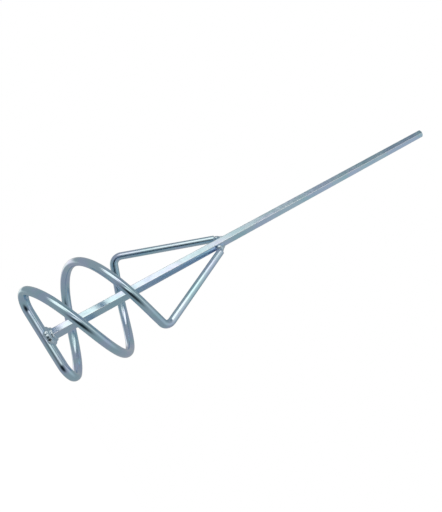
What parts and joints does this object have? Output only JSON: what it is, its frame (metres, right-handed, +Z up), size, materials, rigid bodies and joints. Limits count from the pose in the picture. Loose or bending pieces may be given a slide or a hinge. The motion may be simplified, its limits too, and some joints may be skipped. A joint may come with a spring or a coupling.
{
  "type": "mortar mixing paddle",
  "caption": "Drill-driven mixing paddle: hex steel shaft with a round rod wound into a helical stirrer and welded back to the shaft.",
  "frame": {"origin": "centre of the end face of the shank, where the drill holds the paddle", "axes": "+Z runs up the shaft's axis and out of the shank's end; +X runs along the cross bar towards the end where winding A starts"},
  "size_m": [0.1, 0.1028, 0.5],
  "materials": {
    "zinc_bar": "bright zinc plating with a blue tint on cold drawn hex bar",
    "zinc_rod": "bright zinc plating with a blue tint on smooth round bar",
    "weld_bead": "rippled weld metal, zinc plated"
  },
  "bodies": {
    "root": {"hex_shaft": "zinc_bar", "stirrer_rod": "zinc_rod", "foot_weld_front": "weld_bead", "foot_weld_back": "weld_bead", "arm_weld_a": "weld_bead", "arm_weld_b": "weld_bead"}
  },
  "joints": []
}
